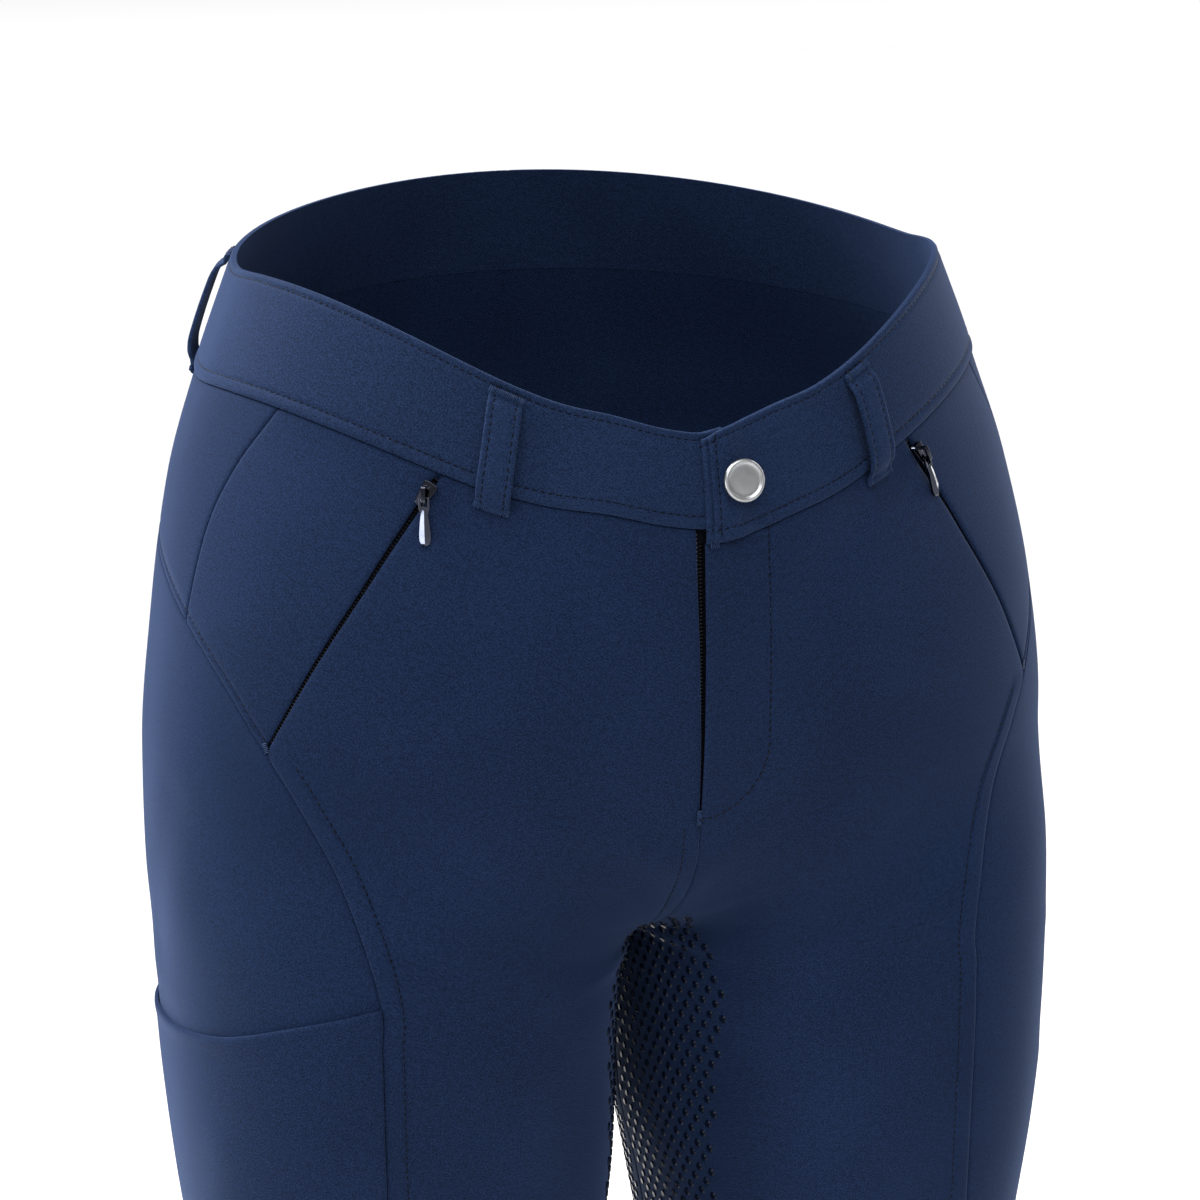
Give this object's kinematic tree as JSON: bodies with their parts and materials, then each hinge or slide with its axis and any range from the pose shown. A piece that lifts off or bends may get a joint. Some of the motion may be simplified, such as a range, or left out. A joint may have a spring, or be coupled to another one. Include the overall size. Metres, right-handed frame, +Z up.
{
  "type": "pair of riding breeches",
  "caption": "Full-length stretch riding breeches in worn form: low-front waistband with snap tab and belt loops, slanted zip pockets, curved hip and thigh seams, thigh pocket and full seat.",
  "frame": {"origin": "middle of the waist ring, half way up the waistband at the sides, where the wearer's waist holds the garment", "axes": "+Z up along the wearer's body, -Y to the front, +X to the wearer's left"},
  "size_m": [0.3598, 0.2574, 0.9751],
  "materials": {
    "breeches_cloth": "fine dense stretch twill, navy, soft sheen",
    "zip_tape": "woven zip tape, near black",
    "snap_metal": "satin silver",
    "zip_metal": "dark polished"
  },
  "bodies": {
    "garment": {"waistband_right": "breeches_cloth", "waistband_left": "breeches_cloth", "front_right": "breeches_cloth", "front_left": "breeches_cloth", "hip_right": "breeches_cloth", "hip_left": "breeches_cloth", "yoke_right": "breeches_cloth", "yoke_left": "breeches_cloth", "side_right": "breeches_cloth", "side_left": "breeches_cloth", "seat_right": "breeches_cloth", "seat_left": "breeches_cloth", "thigh_pocket": "breeches_cloth", "belt_loop_front_right": "breeches_cloth", "belt_loop_front_left": "breeches_cloth", "belt_loop_side_right": "breeches_cloth", "belt_loop_side_left": "breeches_cloth", "belt_loop_back": "breeches_cloth", "pocket_zip_right": "zip_tape", "pocket_zip_left": "zip_tape", "fly_zip": "zip_tape", "snap_button": "snap_metal", "zip_slider_right": "zip_metal", "zip_slider_left": "zip_metal"},
    "pull_right": {"zip_pull_right": "zip_metal"},
    "pull_left": {"zip_pull_left": "zip_metal"}
  },
  "joints": [
    {"name": "pull_right_swing", "type": "hinge", "parent": "garment", "child": "pull_right", "pos_m": [-0.09411, -0.09692, -0.05164], "axis": [-0.8902, 0.4556, 0], "range_deg": [0, 110]},
    {"name": "pull_left_swing", "type": "hinge", "parent": "garment", "child": "pull_left", "pos_m": [0.09461, -0.09664, -0.05152], "axis": [-0.7861, -0.4769, -0.3931], "range_deg": [0, 110]}
  ]
}
